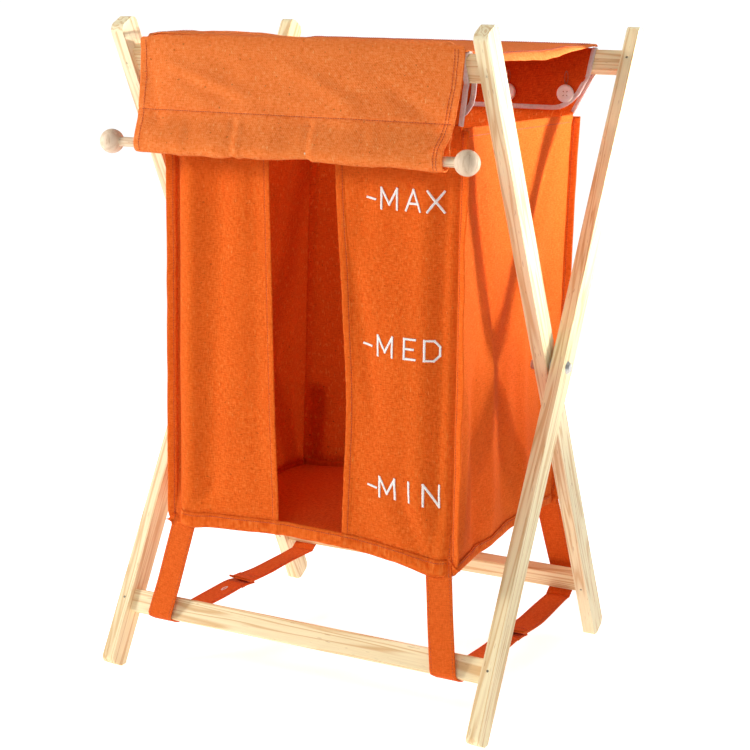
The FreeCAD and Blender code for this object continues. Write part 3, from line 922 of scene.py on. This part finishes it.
def make_sides():
    made = []
    for hand, word in ((-1, "left"), (1, "right")):

        def point(u, v, hand=hand):
            share = u / SIDE_WIDE
            low = side_low(share)
            return side_at(hand, share, low + (YOKE_FOOT + 1.0 - low) * v / SIDE_TALL)

        us = joined(steps(0, SIDE_WIDE, 4.0), [1.5, 3, SIDE_WIDE - 3, SIDE_WIDE - 1.5])
        vs = joined(steps(0, 424, 4.0), steps(426, SIDE_TALL, 1.4))
        material = "rear" if word == "left" else "bag"
        cloth = Build().grid(point, us, vs).make(f"side_cloth_{word}", material, CLOTH)
        settle(cloth, "bag_rear", [f"bag_side_{word}"], SIDE_SQUASH)
        hem = hem_piece(
            f"side_hem_{word}",
            lambda u, h, d, hand=hand: side_at(hand, u / SIDE_WIDE, side_low(u / SIDE_WIDE) + h * 0.75, d),
            4, SIDE_WIDE - 4, 4.2,
        )
        settle(hem, "bag_rear", squash=SIDE_SQUASH)
        seams = Build()
        outward = Vector((hand, 0, 0))
        sew(seams, [(side_at(hand, s, YOKE_FOOT - 7.2, 0.62), outward) for s in steps(0.02, 0.98, 0.02)])
        sew(seams, [(side_at(hand, s, side_low(s) + 8.4, 2.5), outward) for s in steps(0.03, 0.97, 0.02)])
        settle(seams.make(f"side_stitches_{word}", "seam"), "bag_rear", squash=SIDE_SQUASH)
        made.append(cloth)
    return made


def make_bottom():
    """The bag's floor: its edges follow the sides, its middle sags a little and puckers."""
    half, deep = 160, 292

    def point(u, v):
        s, t = (u + half) / (2 * half), v / deep
        left_x = front_edges(170)[0] * (1 - t) + rear_edges(170)[0] * t + 1.0
        right_x = front_edges(170)[1] * (1 - t) + rear_edges(170)[1] * t - 1.0
        x = left_x + (right_x - left_x) * s
        y = front_plane(170) + 1.5 + (rear_plane(170) - front_plane(170) - 3.0) * t
        front, rear, side = soft(u, FRONT_LOW), soft(u, REAR_LOW), side_low(t)
        corner = [162, 162, 164, 164]
        ruled = (1 - t) * front + t * rear + side
        ruled -= (1 - t) * ((1 - s) * corner[0] + s * corner[1]) + t * ((1 - s) * corner[2] + s * corner[3])
        sag = -2.5 * math.sin(math.pi * s) * math.sin(math.pi * t)
        z = ruled + 2.0 + sag + 1.3 * wob(x, y, 60, 51) + 0.6 * wob(x, y, 24, 52) + 0.15 * wob(x, y, 9, 53)
        return Vector((x, y, z))

    grid = Build().grid(point, steps(-half, half, 4.4), steps(0, deep, 4.4))
    cloth = grid.make("bottom_cloth", "bottom", CLOTH)
    settle(cloth, "bag_rear", ["bag_bottom"], SIDE_SQUASH)
    return cloth


def make_bindings():
    """White tape folded round the loops' open ends and the flaps' lower edges."""
    for word, body, node, at, line in (
        ("front", "bag_front", "front_flap_binding", front_at, FRONT),
        ("rear", "bag_rear", "rear_flap_binding", rear_at, REAR),
    ):
        build, threads = Build(), Build()
        rim = [(-PANEL_HALF, run) for run in steps(PANEL_RUN + 3, line.length - 2, 3)]
        corner = [-PANEL_HALF + FLAP_CORNER * (1 - math.cos(math.pi / 2 * k / 9)) for k in range(10)]
        rim += [(u, line.length) for u in corner[1:] + steps(-144, 144, 4) + [-u for u in corner[:0:-1]]]
        rim += [(PANEL_HALF, run) for run in steps(line.length - 2, PANEL_RUN + 3, 3)]
        middles = [at(u, run) for u, run in rim]
        insides = [at(u * 0.985, run - 3.0 if abs(u) < 169 else run) for u, run in rim]
        frames = []
        for n, (middle, inside) in enumerate(zip(middles, insides)):
            tangent = (middles[min(n + 1, len(rim) - 1)] - middles[max(n - 1, 0)]).normalized()
            across = inside - middle
            across = (across - tangent * across.dot(tangent)).normalized()
            frames.append((middle + across * 1.4, across, tangent.cross(across).normalized()))
        tape(build, frames, 5.4, 2.6, 12, 3.5)
        for way in (-1, 1):
            sew(threads, [(m + a * 1.7 + o * 1.3 * way, o * way) for m, a, o in frames], 2.4, 0.65, 0.45)
        settle(build.make(f"{word}_binding", "tape"), body, [node])
        settle(threads.make(f"{word}_binding_stitches", "white"), body)


def button_mesh(name):
    """A turned four-hole button lying in XZ, its face towards -Y, 20 mm across."""
    profile = [(0, 1.75), (4.6, 1.75), (5.6, 2.15), (6.6, 2.85), (8.0, 3.0), (9.2, 2.7), (9.9, 1.9), (10, 1.2),
               (9.4, 0.5), (8.0, 0.12), (0, 0)]
    count = 48
    build = Build()
    rings = []
    for radius, height in profile:
        rings.append([
            Vector((max(radius, 0.02) * math.cos(2 * math.pi * k / count), -height,
                    max(radius, 0.02) * math.sin(2 * math.pi * k / count)))
            for k in range(count)
        ])
    button = build.loft(rings).make(name, "button")
    holes = Build()
    for x in (-2.6, 2.6):
        for z in (-2.6, 2.6):
            holes.loft([
                [Vector((x + 1.1 * math.cos(2 * math.pi * k / 16), y, z + 1.1 * math.sin(2 * math.pi * k / 16)))
                 for k in range(16)]
                for y in (-5, 2)
            ])
    cutter = holes.make("cutter", "button")
    cut = button.modifiers.new("holes", "BOOLEAN")
    cut.operation, cut.object, cut.solver = "DIFFERENCE", cutter, "EXACT"
    view = bpy.context.evaluated_depsgraph_get()
    mesh = bpy.data.meshes.new_from_object(button.evaluated_get(view))
    bpy.data.objects.remove(button)
    bpy.data.objects.remove(cutter)
    return mesh


BUTTONS_X = (-152.8, -84.0, 0.0, 84.0, 152.8)


def make_buttons():
    mesh = button_mesh("button_blank")
    for word, body, at, line, face in (
        ("front", "bag_front", front_at, FRONT, 1), ("rear", "bag_rear", rear_at, REAR, -1),
    ):
        parts, threads, holes = [], Build(), Build()
        for n, x in enumerate(BUTTONS_X):
            run = line.length - 16.5
            left, right = front_edges(630) if word == "front" else rear_edges(630)
            u = (x - left) / (right - left) * 2 * PANEL_HALF - PANEL_HALF
            spot = at(u, run, 1.0)
            matrix = Matrix.Translation(spot * MM) @ Matrix.Rotation(math.radians(4 * n), 4, "Y")
            if face > 0:
                matrix = matrix @ Matrix.Rotation(math.pi, 4, "Z")
            piece = bpy.data.objects.new(f"{word}_button_{n}", mesh.copy())
            bpy.context.collection.objects.link(piece)
            piece.data.transform(matrix)
            for polygon in piece.data.polygons:
                polygon.use_smooth = True
            parts.append(piece)
            out = Vector((0, face, 0))
            for a in (-2.6, 2.6):
                for b in (-2.6, 2.6):
                    start = spot + Vector((a * 1.1, 0, b * 1.1)) + out * 1.5
                    threads.stitch(start, spot + Vector((a * 0.55, 0, b * 0.55)) + out * 1.8, out, 1.0)
            for k in range(26):
                angle = 2 * math.pi * k / 26
                middle = spot + Vector((1.3 * math.cos(angle), 0, 17.5 + 6.0 * math.sin(angle)))
                away = Vector((math.cos(angle), 0, math.sin(angle)))
                holes.stitch(middle + out * -0.2, middle + away * 1.5 + out * -0.2, out, 0.8)
        for piece in parts:
            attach(piece, body)
        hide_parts(f"{word}_buttons")
        settle(threads.make(f"{word}_button_thread", "brown"), body)
        settle(holes.make(f"{word}_buttonholes", "brown"), body)


LETTERS = {
    "-": (9, [((0, 0.5), (1, 0.42))]),
    "M": (17, [((0, 0), (0, 1)), ((0, 1), (0.5, 0.22)), ((0.5, 0.22), (1, 1)), ((1, 1), (1, 0))]),
    "A": (16, [((0, 0), (0.5, 1)), ((0.5, 1), (1, 0)), ((0.2, 0.34), (0.8, 0.34))]),
    "X": (15, [((0, 0), (1, 1)), ((0, 1), (1, 0))]),
    "E": (12, [((0, 0), (0, 1)), ((0, 1), (1, 1)), ((0, 0.5), (0.82, 0.5)), ((0, 0), (1, 0))]),
    "D": (14, [((0, 0), (0, 1)), ((0, 1), (0.62, 1)), ((0.62, 1), (1, 0.72)), ((1, 0.72), (1, 0.28)),
               ((1, 0.28), (0.62, 0)), ((0.62, 0), (0, 0))]),
    "I": (1, [((0, 0), (0, 1))]),
    "N": (15, [((0, 0), (0, 1)), ((0, 1), (1, 0)), ((1, 0), (1, 1))]),
}


def make_level_marks():
    """Fill levels sewn on the right front panel: a dash and a plain word in satin stitch."""
    marks = (("-MAX", 527, (73, 89, 116, 140)), ("-MED", 380, (70, 87, 117, 139)), ("-MIN", 235, (78, 91, 124, 140)))
    random.seed(12)
    for word, foot, starts in marks:
        build = Build()
        for letter, start in zip(word, starts):
            wide, strokes = LETTERS[letter]
            for a, b in strokes:
                a = Vector((start + a[0] * wide, foot + a[1] * 20))
                b = Vector((start + b[0] * wide, foot + b[1] * 20))
                run = (b - a).length
                away = Vector((-(b - a).y, (b - a).x)).normalized()
                for s in steps(-0.8, run + 0.8, 0.52):
                    middle = a.lerp(b, s / run)
                    half = 1.15 + random.uniform(-0.15, 0.15)
                    ends = []
                    for side in (-1, 1):
                        p = middle + away * half * side + (b - a).normalized() * side * 0.25
                        ends.append(mark_place(p))
                    build.stitch(ends[0], ends[1], Vector((0, -1, 0.03)), 0.95)
        name = {"-MAX": "high", "-MED": "middle", "-MIN": "low"}[word]
        settle(build.make(f"level_mark_{name}", "white"), "bag_front")


def mark_place(spot):
    """A point of the right front panel from its x and z, just proud of the cloth."""
    x, z = spot
    left, right = slot_edges(z)[1], front_edges(z)[1]
    u = SLOT_HALF + (x - left) / (right - left) * (PANEL_HALF - SLOT_HALF)
    return front_at(u, (z - PANEL_FOOT) / math.cos(math.radians(1.6)), 0.75)


# ---- straps


def strap_frames(points, middle_x, across=None, twist=None):
    """Frames for a strap that runs in a plane of constant x, apart from middle_x(run)."""
    line = Line(points)
    frames = []
    for run in steps(0, line.length, 3.0):
        y, z = line.at(run)
        dy, dz = line.along(run)
        tangent = Vector((0, dy, dz))
        slope = (middle_x(run + 1) - middle_x(run - 1)) / 2
        tangent = (tangent + Vector((slope, 0, 0))).normalized()
        out = tangent.cross(Vector((1, 0, 0))).normalized()
        side = out.cross(tangent).normalized()
        bend = twist(run) if twist else 0.0
        side, out = side * math.cos(bend) + out * math.sin(bend), out * math.cos(bend) - side * math.sin(bend)
        frames.append((Vector((middle_x(run), y, z)), side, out))
    return frames


def edge_stitches(build, frames, wide, lift):
    for side in (-1, 1):
        for face in (-1, 1):
            spots = [(m + a * side * (wide / 2 - 2.6) + o * face * lift, o * face) for m, a, o in frames]
            sew(build, spots, 3.2, 0.66, 0.55)


STRAP_WIDE = 29.0


def make_straps():
    for face, word, drops, runs_on in (
        (-1, "front", "front_straps", "outer_frame"), (1, "rear", "rear_straps", "inner_frame"),
    ):
        low = LOW_FRONT if face < 0 else LOW_REAR
        lean = TILT if face < 0 else -TILT
        corners = bar_corners(*low, lean, 1.0)
        outer_low, inner_low = (corners[0], corners[3]) if face < 0 else (corners[3], corners[0])
        bag_y, lean_in = (-147.6, 7.5) if face < 0 else (159.8, 2.0)
        for hand, side in ((-1, "left"), (1, "right")):
            top_x = {(-1, -1): -149, (-1, 1): 155.5, (1, -1): -157, (1, 1): 149}[(face, hand)]
            low_x = hand * 172.0
            path = [
                (bag_y + lean_in, 264), (bag_y, 166), outer_low + Vector((face * 0.6, 5.0)), outer_low,
                inner_low, (inner_low[0] - face * 7.0, 51.2),
            ]
            line = rounded(path, 3.0)
            drop_run = Line(line[:1] + [outer_low]).length

            def middle_x(run, top_x=top_x, low_x=low_x, hand=hand, drop_run=drop_run):
                share = clamp((run - 92) / (drop_run - 92))
                return top_x + (low_x - top_x) * share + hand * -0.6 * math.sin(share * math.pi)

            frames = strap_frames(line, middle_x)
            frames = [(m + o * 0.5 * wob(m.z, hand * 30, 28, 61), a, o) for m, a, o in frames]
            build = tape(Build(), frames, STRAP_WIDE, 1.7, 20, 7.0)
            strap = build.make(f"strap_{word}_{side}", "strap")
            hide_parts(f"strap_drop_{word}_{side}")
            threads = Build()
            edge_stitches(threads, frames, STRAP_WIDE, 0.8)
            if face < 0:
                m, a, o = frames[min(range(len(frames)), key=lambda k: abs(frames[k][0].z - 158))]
                reach = STRAP_WIDE / 2 - 1
                sew(threads, [(m + a * k - o * 0.9, -o) for k in steps(-reach, reach, 3)])
            line_work = threads.make(f"strap_stitches_{word}_{side}", "seam")
            for piece in (strap, line_work):
                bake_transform(piece)
            make_run(face, word, hand, side, runs_on, inner_low, low_x)


def make_run(face, word, hand, side, body, inner_low, low_x):
    """The strap under the frame, from its bar to the buttoned joint near the middle."""
    start = (inner_low[0] - face * 6.0, 51.4)
    joint_y = 12.2
    if face < 0:
        path = [start, (-100, 50.6), (-40, 49.6), (joint_y - 6, 50.4), (joint_y + 10, 48.0)]
    else:
        path = [start, (100, 51.0), (60, 50.4), (joint_y + 8, 52.6), (joint_y - 4, 53.6), (joint_y - 9, 56.6)]
    line = rounded(path, 9.0)
    far = Line(line).length
    shift = {(-1, -1): -4.0, (-1, 1): 2.0, (1, -1): 0.0, (1, 1): 5.0}[(face, hand)]

    def middle_x(run):
        return low_x + shift * ease(run / far) + hand * 1.2 * math.sin(run / far * math.pi)

    frames = strap_frames(line, middle_x, twist=lambda run: 0.05 * math.sin(run / 31 + hand + face))
    build = tape(Build(), frames, STRAP_WIDE - 1.0, 1.7, 20, 7.0)
    tip = frames[-10:]
    tape(build, [(m + o * 0.9, a, o) for m, a, o in tip], STRAP_WIDE - 0.4, 1.5, 20, 7.0)
    nodes_here = [f"strap_run_{word}_{side}"] + ([f"strap_joint_{side}"] if face > 0 else [])
    keep = (inner_low[0], 0.16)
    strap = build.make(f"strap_run_{word}_{side}_cloth", "strap")
    settle(strap, body, squash=keep)
    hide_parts(*nodes_here)
    threads = Build()
    edge_stitches(threads, frames, STRAP_WIDE - 1.0, 0.85)
    for back in (3, 7):
        m, a, o = frames[-back]
        for way in (-1, 1):
            lift = 1.9 if way > 0 else 0.9
            sew(threads, [(m + a * k + o * way * lift, o * way) for k in steps(-12, 12, 3)])
    settle(threads.make(f"strap_run_stitches_{word}_{side}", "seam"), body, squash=keep)
    if face < 0:
        hole = Build()
        m, a, o = frames[-16]
        ahead = o.cross(a).normalized()
        for k in range(30):
            angle = 2 * math.pi * k / 30
            spot = m + ahead * 5.6 * math.cos(angle) + a * 0.8 * math.sin(angle)
            away = (ahead * math.cos(angle) + a * math.sin(angle)).normalized()
            for way in (-1, 1):
                hole.stitch(spot + o * way * 0.9, spot + away * 1.2 + o * way * 0.9, o * way, 0.8)
        settle(hole.make(f"strap_buttonhole_{side}", "white"), body, squash=keep)


# ---- lid

LID_SQUASH = (-181.0, 0.14)
LID_HALF, LID_RUN = 182, 358
# The lid's height along its left edge, middle and right edge: (y, z).
LID_LEFT = [(-190, 688), (-120, 691), (-57, 690), (20, 684), (69, 681), (126, 682.5), (180, 685.4)]
LID_MID = [(-190, 686.5), (-120, 684), (-40, 681), (60, 680.5), (120, 682), (180, 685.4)]
LID_RIGHT = [(-190, 684), (-150, 680), (-98, 676.5), (-48, 678), (19, 677.5), (70, 679), (105, 682.5), (180, 685.2)]


def lid_height(x, y):
    share = (x + LID_HALF) / (2 * LID_HALF)
    left, middle, right = soft(y, LID_LEFT), soft(y, LID_MID), soft(y, LID_RIGHT)
    if share < 0.5:
        return left + (middle - left) * ease(share * 2)
    return middle + (right - middle) * ease(share * 2 - 1)


CREST_Y = -177.5


def crest_corner(u, run):
    """How much the cloth is drawn in and down at the crest's two ends."""
    return ease((abs(u) - 160) / 18) * (1 - ease(run / 15))


def lid_at(u, v, lift=0.0):
    """v runs from the crest over the front bar (0) to the hem behind the rear bar (LID_RUN)."""
    y = CREST_Y + v
    z = lid_height(u, y)
    middle = math.sin(math.pi * clamp(v / 356))
    z += middle * (2.4 * wob(u, y, 62, 71) + 1.5 * wob(u, y, 28, 72)) + 0.24 * wob(u, y, 9, 73)
    z += middle * folds(u, y, LID_FOLDS)
    crown = 1.2 * hump(v, 10)
    edge = max(0.0, abs(u) - 173) / 9
    z -= 7.5 * edge ** 1.6 * middle
    drawn = crest_corner(u, v)
    x = u - math.copysign(2.2 * edge ** 2 + 5.0 * drawn, u)
    z -= 5.0 * drawn
    z += hem_step(LID_RUN - v, 9, 0.7) + crown
    if v > 350:
        z -= 2.6 * ((v - 350) / 8) ** 2
    return Vector((x, y, z + lift))


DROP = Line(rounded(
    [(-171.0, 688.6), (-180.5, 687.6), (-184.8, 678.0), (-190.2, 632.0), (-193.6, 606.0), (-200.6, 588.0),
     (-202.6, 579.0), (-199.6, 571.6), (-192.0, 571.0), (-187.4, 576.0), (-187.6, 588.0), (-191.4, 605.0)], 5.0, 6,
))
DROP_RIGHT = [(565, 172.4), (592, 172.8), (602, 176.0), (614, 179), (646, 183), (676, 184.5), (690, 182)]
DROP_LEFT = [(565, -174), (650, -175), (672, -176), (690, -180)]
DROP_STITCH, DROP_HALF = 84.0, 175
# Each pucker along the sleeve: its place in x, height and width.
SLEEVE_PUCKERS = ((-53, 1.4, 3.5), (-60, -1.3, 4), (32, 1.3, 3.5), (25, -1.2, 4), (96, 0.9, 4), (-120, 0.8, 5))


def drop_at(u, run, lift=0.0):
    y, z = DROP.at(run)
    ty, tz = DROP.along(run, 2.0)
    left, right = table(z, DROP_LEFT), table(z, DROP_RIGHT)
    drawn = crest_corner(u * 1.04, run)
    x = left + (right - left) * (u + DROP_HALF) / (2 * DROP_HALF) - math.copysign(5.0 * drawn, u)
    z -= 5.0 * drawn
    loose = clamp((run - 14) / 40)
    out = loose * (2.4 * wob(x, z * 0.8, 70, 81) + 1.5 * wob(x * 0.8, z, 24, 82)) + 0.3 * wob(x, z, 8, 83)
    out += 1.7 * loose * folds(x, z, DROP_FOLDS)
    sleeve = ease((run - DROP_STITCH) / 9) * ease((DROP.length - run) / 9)
    puckers = sum(size * hump(x - at, wide) for at, size, wide in SLEEVE_PUCKERS)
    out += sleeve * (0.8 * wob(x, z, 17, 84) + puckers)
    out -= 1.3 * hump(run - DROP_STITCH, 1.2) + 0.7 * hump(run - DROP.length, 2.0)
    rise = 1.6 * wob(x, 0, 50, 85) * sleeve
    return Vector((x, y + tz * (out + lift), z - ty * (out + lift) + rise))


def make_lid():
    us = joined(steps(-LID_HALF, LID_HALF, 3.8), [-180, -177.5, -175.5, 175.5, 177.5, 180])
    vs = joined(steps(0, 348, 4.0), steps(350, LID_RUN, 1.3))
    lid = Build().grid(lid_at, us, vs).make("lid_cloth", "lid", CLOTH)
    settle(lid, "lid", ["lid_sheet"], LID_SQUASH)
    threads = Build()
    for u in (-172.5, 172.5, 169.5):
        sew(threads, [(lid_at(u, v, 0.7), UP) for v in steps(4, 350, 6)])
    for v in (349, 346):
        sew(threads, [(lid_at(u, v, 0.8), UP) for u in steps(-176, 176, 6)])
    settle(threads.make("lid_stitches", "seam"), "lid", squash=LID_SQUASH)

    us = joined(steps(-DROP_HALF, DROP_HALF, 3.4), [-174, -172.5, 172.5, 174])
    vs = joined(steps(0, DROP.length, 2.3), [DROP_STITCH + d for d in (-2, -1, 0, 1, 2)])
    drop = Build().grid(drop_at, us, vs).make("lid_drop_cloth", "lid", CLOTH)
    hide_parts("lid_drop", "lid_sleeve")
    threads = Build()
    outward = Vector((0, -1, 0))
    sew(threads, [(drop_at(u, DROP_STITCH, 0.6), outward) for u in steps(-172, 172, 4)])
    for u in (-168.5, 168.5, 165.2):
        sew(threads, [(drop_at(u, r, 0.75), outward) for r in steps(14, 128, 4)])
    line_work = threads.make("lid_drop_stitches", "seam")
    for piece in (drop, line_work):
        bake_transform(piece)


def make_loose_threads():
    """Frayed ends at the bag's lower right corner, and the gathered tufts where the seams end."""
    random.seed(5)
    wisps = Build()
    for n in range(3):
        start = Vector((171 - n * 1.5, -147 - n, 163))
        points = [start]
        for k in range(1, 9):
            curl = Vector((1.2 * math.sin(k * 0.9 + n), -0.8 * math.cos(k * 0.7), -k * (1.7 + n * 0.6)))
            points.append(start + curl)
        line = Line(rounded(points, 1.0, 3))
        for s in steps(0, line.length - 1.2, 1.2):
            wisps.stitch(line.at(s), line.at(s + 1.5), Vector((0, -1, 0)), 0.4)
    settle(wisps.make("loose_threads", "brown"), "bag_front")
    for face, body in ((-1, "bag_front"), (1, "bag_rear")):
        tufts = Build()
        for hand in (-1, 1):
            left, right = front_edges(164) if face < 0 else rear_edges(164)
            x = right if hand > 0 else left
            y = front_plane(164) + 4 if face < 0 else rear_plane(164) - 4
            frames = []
            for k in range(13):
                a = k / 12
                curl = a * 3.6
                middle = Vector((
                    x + hand * (3.0 + 4.2 * math.sin(curl)), y + face * (1.5 + 2.4 * a),
                    162.5 + 14 * a + 1.6 * math.cos(curl),
                ))
                across = Vector((hand * 0.8, face * 0.5, 0.5 * math.cos(curl))).normalized()
                out = across.cross(Vector((0.1, 0.1, 1))).normalized()
                frames.append((middle, across, out, 0.55 + 0.5 * math.sin(0.3 + a * 2.6)))
            tape(tufts, frames, 10.5, 3.6, 14, 2.4)
        settle(tufts.make(f"{body}_corner_tufts", "bag"), body)


# ---- wood and hardware


def dress_cad():
    plain = {
        "leg_outer": ["outer_leg_left", "outer_leg_right"],
        "leg_inner": ["inner_leg_left", "inner_leg_right"],
        "bar": ["top_rear_bar", "bottom_front_bar", "top_front_bar", "bottom_rear_bar"],
        "dowel": ["lid_dowel"],
        "ball": ["knob_left", "knob_right"],
        "nail": ["outer_nails", "inner_nails"],
        "bolt": [f"pivot_{part}_{side}" for part in ("bolt", "washer", "nut") for side in ("left", "right")],
    }
    for key, names in plain.items():
        for name in names:
            mesh = nodes[name].data
            mesh.materials.clear()
            mesh.materials.append(MATERIALS[key])


add_camera()
add_stage()
dress_cad()
front = make_front()
make_front_details(front)
rear, rear_hem = make_rear()
make_sides()
make_bottom()
make_fins()
make_bindings()
make_buttons()
make_level_marks()
make_straps()
make_lid()
make_loose_threads()
